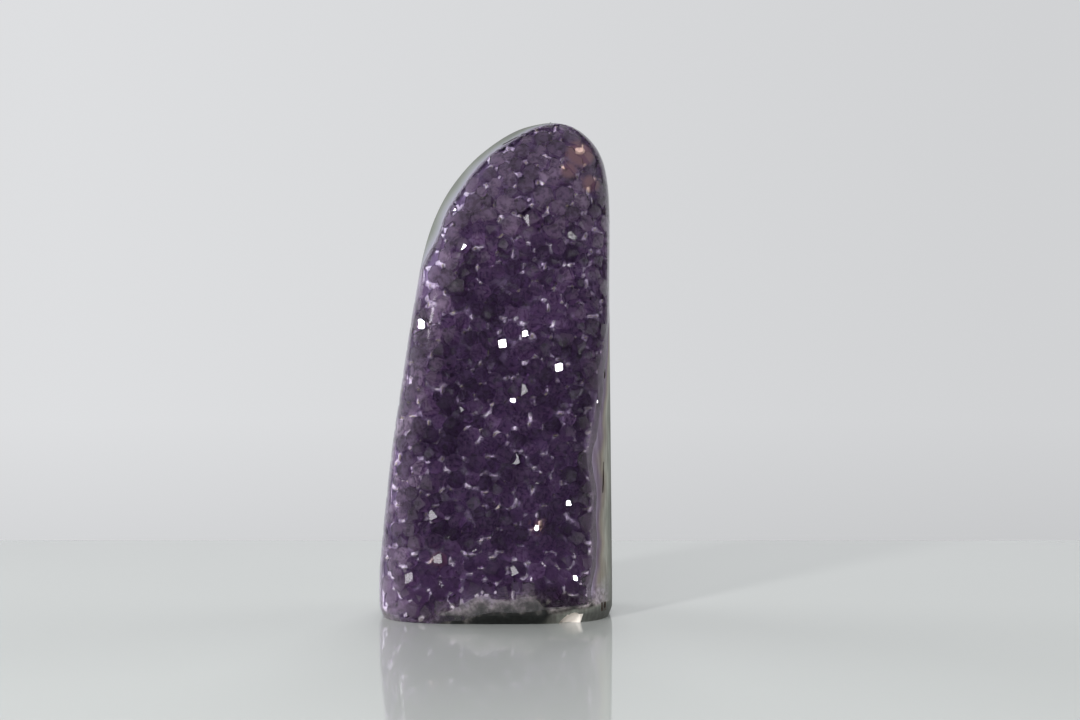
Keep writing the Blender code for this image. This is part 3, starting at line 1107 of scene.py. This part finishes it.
def foot_colour(tree, place):
    """(share, colour) of the foot, where grey quartz passes into dark basalt in cloudy patches."""
    above = made_uneven(tree, "above_foot_mm", place, FOOT_WARP_SIZE, FOOT_WARP, 6.0)
    colour = colour_ramp(tree, spread(tree, above, *FOOT_COLOURS), [
        (0.12, "#131514"), (0.38, "#1b1d1c"), (0.52, "#5d5957"), (0.68, "#a59c9e"),
        (1.0, "#ab9fb3")])
    grain = colour_ramp(tree, noise_at(tree, place, FOOT_GRAIN_SIZE, 5.0), [
        (0.35, "#9d9a9c"), (0.65, "#ffffff")])
    return spread(tree, above, *FOOT_FADES), shade_colours(tree, colour, grain)


by_rind = made_uneven(tree, "behind_mm", place, WANDER_SIZE, LINING_WANDER)
lining = colour_ramp(tree, spread(tree, split.outputs["Z"], 0.0, HEIGHT), [
    (0.1, "#7b727b"), (0.4, "#7f7681"), (0.7, "#918b98"), (0.82, "#9c98a6")])
base = blend_colours(tree, spread(tree, by_rind, *LINING), inside, lining)
foot_share, at_foot = foot_colour(tree, place)
put_out(tree, {
    "Base Color": blend_colours(tree, foot_share, base, at_foot),
    "Roughness": 0.5,  # under the clear quartz nothing mirrors
    "IOR": QUARTZ_IOR})  # quartz too
give(milky_quartz, milky)

# %% [markdown]
# ## Basalt and chalcedony
#
# From the quartz outwards, the wall goes from mauve chalcedony through a pale rusty band to
# grey-green basalt, so the colour follows the depth behind the rind's front. On the shoulder the
# wheel met the layers at a flat angle, and there they are wider, bluer and softer, so it has a
# ramp of its own. Below it, fine upright streaks follow the saw.

# %% Basalt and chalcedony
SHOULDER_FROM = (85 * MM, 105 * MM)
STREAK_STRETCH = 0.12  # so that a streak is about eight times as long as wide
STREAK_SIZE = 1.1 * MM
FOOT_CLOUDS_BACK = (9.0, 3.0)  # mm behind the rind's front
LAYERS_DEEP = 20.0  # mm that the two ramps span
LAYER_WAVE_SIZE = 6 * MM
LAYER_WANDER = 3.0  # mm to and fro

basalt, tree = new_material("ground_basalt")
place = add(tree, "ShaderNodeTexCoord").outputs["Object"]
depth = spread(tree, made_uneven(tree, "behind_mm", place, LAYER_WAVE_SIZE, LAYER_WANDER),
               0.0, LAYERS_DEEP)
shoulder = colour_ramp(tree, depth, [
    (0.0, "#85808f"), (0.06, "#84828e"), (0.14, "#7e7f87"), (0.3, "#767879"), (0.5, "#646862"),
    (0.8, "#545652")])
edge = colour_ramp(tree, depth, [
    (0.0, "#82788a"), (0.05, "#75697a"), (0.12, "#8a8379"), (0.2, "#9a9b92"), (0.3, "#858980"),
    (0.5, "#666963"), (0.8, "#575955")])
upright = add(tree, "ShaderNodeMapping", {"Vector": place, "Scale": (1, 1, STREAK_STRETCH)})
streaks = colour_ramp(tree, noise_at(tree, upright.outputs["Vector"], STREAK_SIZE), [
    (0.35, "#cfc9cb"), (0.65, "#ffffff")])
edge = shade_colours(tree, edge, streaks)
height = add(tree, "ShaderNodeSeparateXYZ", {"Vector": place}).outputs["Z"]
layers = blend_colours(tree, spread(tree, height, *SHOULDER_FROM), edge, shoulder)
foot_share, at_foot = foot_colour(tree, place)
in_front = spread(tree, attribute(tree, "behind_mm"), *FOOT_CLOUDS_BACK)
foot_share = calculate(tree, "MULTIPLY", foot_share, in_front)
put_out(tree, {
    "Base Color": blend_colours(tree, foot_share, layers, at_foot),
    "Roughness": 0.55,  # ground, but too coarse to take a polish
    "Specular IOR Level": 0.3})  # a dull shine
give(rind, basalt)

# %% [markdown]
# ## Breaks
#
# The flake's bed is fresh quartz, pale and dull. The pit and the cracks are old and filled with
# dirt, and in the narrow cracks their dark colour also stands in for the shade inside them, as
# painted shade. We find their faces with the matrices that cut them: in a scar's own frame its
# ball has radius 1, so a face on it lies about 1 from the middle.

# %% Fresh breaks, and stained cracks with painted shade
ON_THE_BALL = 1.02
rind.data.materials.append(plain_material("fresh_break", {
    "Base Color": srgb("#dcd4cc"),  # the quartz's own pale beige
    "Roughness": 0.7}))  # a break doesn't shine
rind.data.materials.append(plain_material("dirty_and_shaded_crack", {
    "Base Color": srgb("#3a302b"),  # dirt, and painted shade inside the narrow cracks
    "Roughness": 0.8}))


def in_scar(frame_of_scar, place):
    """Whether a place lies on or in a scar."""
    return (frame_of_scar.inverted() @ place).length < ON_THE_BALL


broken = 0
for face in rind.data.polygons:
    if in_scar(chip_frame, face.center):
        face.material_index = 1
    elif any(in_scar(frame_of_scar, face.center) for frame_of_scar in scar_frames):
        face.material_index = 2
    broken += face.material_index > 0
print(broken, "faces are broken ones")

# %% [markdown]
# ## Smooth where the wheel went, sharp where the crystal grew
#
# The ground form turns by a degree or two from face to face, and crystal faces meet at tens of
# degrees. One angle between the two keeps every crystal edge sharp and lets the wheel's form flow.

# %% Shade
SMOOTH_UP_TO = math.radians(14)
for piece in (clear_quartz, milky_quartz, rind):
    take(piece)
    bpy.ops.object.shade_smooth_by_angle(angle=SMOOTH_UP_TO)
print("Edges under", round(math.degrees(SMOOTH_UP_TO)), "degrees are smooth")

# %% [markdown]
# ## Bind the pieces to the frame
#
# The stone is one body. Both quartz pieces stand for the crust's solid, and the third for the
# rind's.

# %% Bind the pieces to the frame
for piece in (clear_quartz, milky_quartz, rind):
    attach(piece, "root")
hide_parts("amethyst_crust")
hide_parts("amethyst_crust")
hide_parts("basalt_rind")
print("Bound:", clear_quartz.name, milky_quartz.name, rind.name)

# %% [markdown]
# ## The table
#
# A white lacquered shelf. Its base colour is grey, because most of its brightness is a mirrored
# wall, and its lacquer is hard and flat enough to mirror the stone's foot.

# %% Table
TABLE_BACK = 182 * MM
TABLE_WIDTH, TABLE_DEPTH = 1.6, 1.2  # metres
bpy.ops.mesh.primitive_plane_add(size=1, location=(0, TABLE_BACK - TABLE_DEPTH / 2, 0))
table = bpy.context.object
table.name = "table_top"
table.scale = (TABLE_WIDTH, TABLE_DEPTH, 1)
bpy.ops.object.transform_apply(location=True, rotation=True, scale=True)
give(table, plain_material("white_lacquer", {
    "Base Color": srgb("#aaadab"),
    "Roughness": 0.05,  # mirrors the foot with soft edges
    "IOR": 1.7}))  # a strong mirror at the low angle we look from
table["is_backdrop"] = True
print("The table ends", round(TABLE_BACK / MM), "mm behind the stone's middle")

# %% [markdown]
# ## The room
#
# A crystal shows whatever it mirrors. Behind the camera the room is dark, which keeps the faces
# that look at us deep violet, and behind the stone it is bright. What the camera sees directly is
# a pale wall with painted light on it: brighter on the left, and a little darker towards the
# table, as painted shade.

# %% Room
# each pair of directions, from -1 to 1, and the light at both
ROOM_FROM, ROOM_LIGHT = (-0.3, 0.8), (0.09, 0.62)  # behind the camera, behind the stone
WALL_FROM, WALL_LIGHT_ACROSS = (-0.3, 0.3), (1.07, 0.94)  # left, right: painted light, brighter on the left
TABLE_FROM, WALL_SHADE_UP = (-0.12, -0.04), (0.9, 1.0)  # at the table, above: painted shade near the table

scene = bpy.context.scene
scene.view_settings.view_transform = "Standard"
world = bpy.data.worlds.new("studio")
scene.world = world
world.use_nodes = True
tree = world.node_tree
tree.nodes.clear()
toward = add(tree, "ShaderNodeTexCoord").outputs["Generated"]
split = add(tree, "ShaderNodeSeparateXYZ", {"Vector": toward})
# painted light and shade on the wall: brighter on the left, darker towards the table
across = spread(tree, split.outputs["X"], *WALL_FROM, *WALL_LIGHT_ACROSS)
painted_shade_to_table = spread(tree, split.outputs["Z"], *TABLE_FROM, *WALL_SHADE_UP)
wall_with_painted_light = add(tree, "ShaderNodeBackground", {
    "Color": srgb("#d7d8da"), "Strength": calculate(tree, "MULTIPLY", across, painted_shade_to_table)})
felt = add(tree, "ShaderNodeBackground", {
    "Color": srgb("#f7f9fc"),
    "Strength": spread(tree, split.outputs["Y"], *ROOM_FROM, *ROOM_LIGHT)})
path = add(tree, "ShaderNodeLightPath")
either = add(tree, "ShaderNodeMixShader", {
    "Fac": path.outputs["Is Camera Ray"],
    1: felt.outputs["Background"], 2: wall_with_painted_light.outputs["Background"]})
add(tree, "ShaderNodeOutputWorld", {"Surface": either.outputs["Shader"]})
print("The room's light runs from", ROOM_LIGHT[0], "to", ROOM_LIGHT[1])

# %% [markdown]
# ## The lamps
#
# Two small lamps, key and sky, are the ones that the planned faces mirror, so they give the
# sparkle. The others only fill: they are large and soft, and no surface mirrors them, so the
# ground rim stays free of white bars.

# %% Lamps
AIM = Vector((0, 0, 75 * MM))


def softbox(name, place, size, power, mirrored=False):
    """A square lamp that looks at the stone."""
    lamp = bpy.data.lights.new(name, "AREA")
    lamp.shape = "SQUARE"
    lamp.size = size
    lamp.energy = power
    holder = bpy.data.objects.new(name, lamp)
    scene.collection.objects.link(holder)
    holder.location = place
    holder.rotation_euler = (AIM - Vector(place)).to_track_quat("-Z", "Y").to_euler()
    holder.visible_glossy = mirrored
    print(name, "gives", power, "W")


softbox("key", LIGHTS["key"], 0.1, 9, mirrored=True)
softbox("sky", LIGHTS["sky"], 0.12, 0.3, mirrored=True)
softbox("fill", (-0.2, -1.25, 0.42), 0.8, 11.5)
softbox("right", LIGHTS["right"], 0.3, 1.2)
softbox("left_behind", (-1.0, 0.45, 0.6), 0.8, 10)
softbox("right_behind", (1.1, 0.35, 0.5), 0.8, 7.5)
softbox("top", LIGHTS["top"], 0.5, 9)

# %% [markdown]
# ## The camera
#
# It stands level with the middle of the stone and looks straight at its front, so upright lines
# stay upright.

# %% Camera
camera = bpy.data.objects.new("camera", bpy.data.cameras.new("camera"))
scene.collection.objects.link(camera)
camera.location = CAMERA
camera.rotation_euler = (math.pi / 2, 0, 0)
camera.data.lens = 50
camera.data.sensor_width = 36
scene.camera = camera
print("The camera is", round(-CAMERA.y / MM), "mm away")

# %% [markdown]
# ## Sizes
#
# Last, we measure the box round all the pieces. The pieces have to stay inside the
# solids' box, apart from a hair.

# %% Sizes
low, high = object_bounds()
print("Visual box in mm:", [[round(v / MM, 2) for v in corner] for corner in (low, high)])
